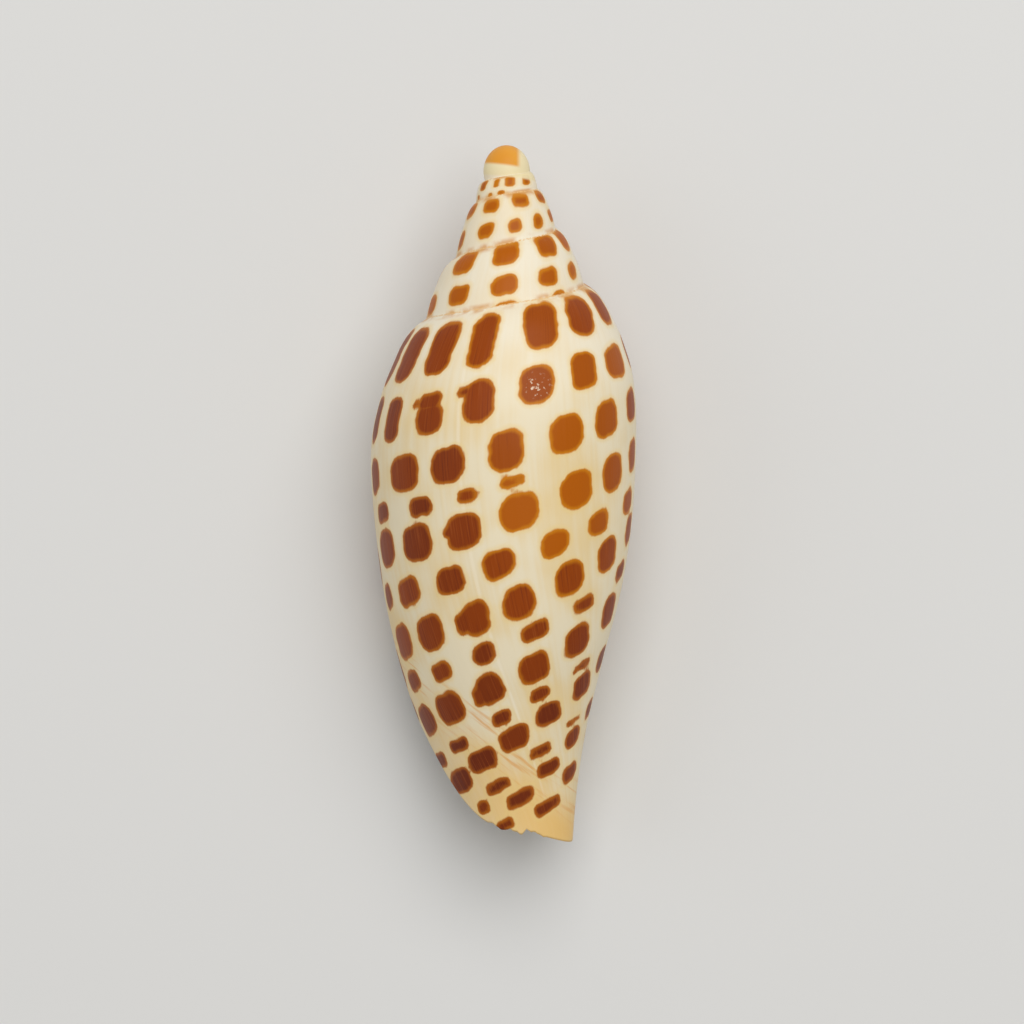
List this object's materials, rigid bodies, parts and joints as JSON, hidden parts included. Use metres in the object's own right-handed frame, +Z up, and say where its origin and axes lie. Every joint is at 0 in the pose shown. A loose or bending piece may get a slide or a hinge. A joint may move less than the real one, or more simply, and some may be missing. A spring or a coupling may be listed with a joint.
{
  "type": "junonia shell",
  "caption": "Spindle-shaped spotted sea snail shell lying on its long narrow aperture, with a short stepped spire and a folded columella.",
  "frame": {"origin": "bottom centre of the shell's bounding box, on the surface it lies on", "axes": "+Y along the shell towards the tip of the spire, +Z up out of its back, +X to the right seen from above"},
  "size_m": [0.0342, 0.09, 0.0302],
  "materials": {
    "shell": "gloss"
  },
  "bodies": {
    "root": {"shell": "shell"}
  },
  "joints": []
}
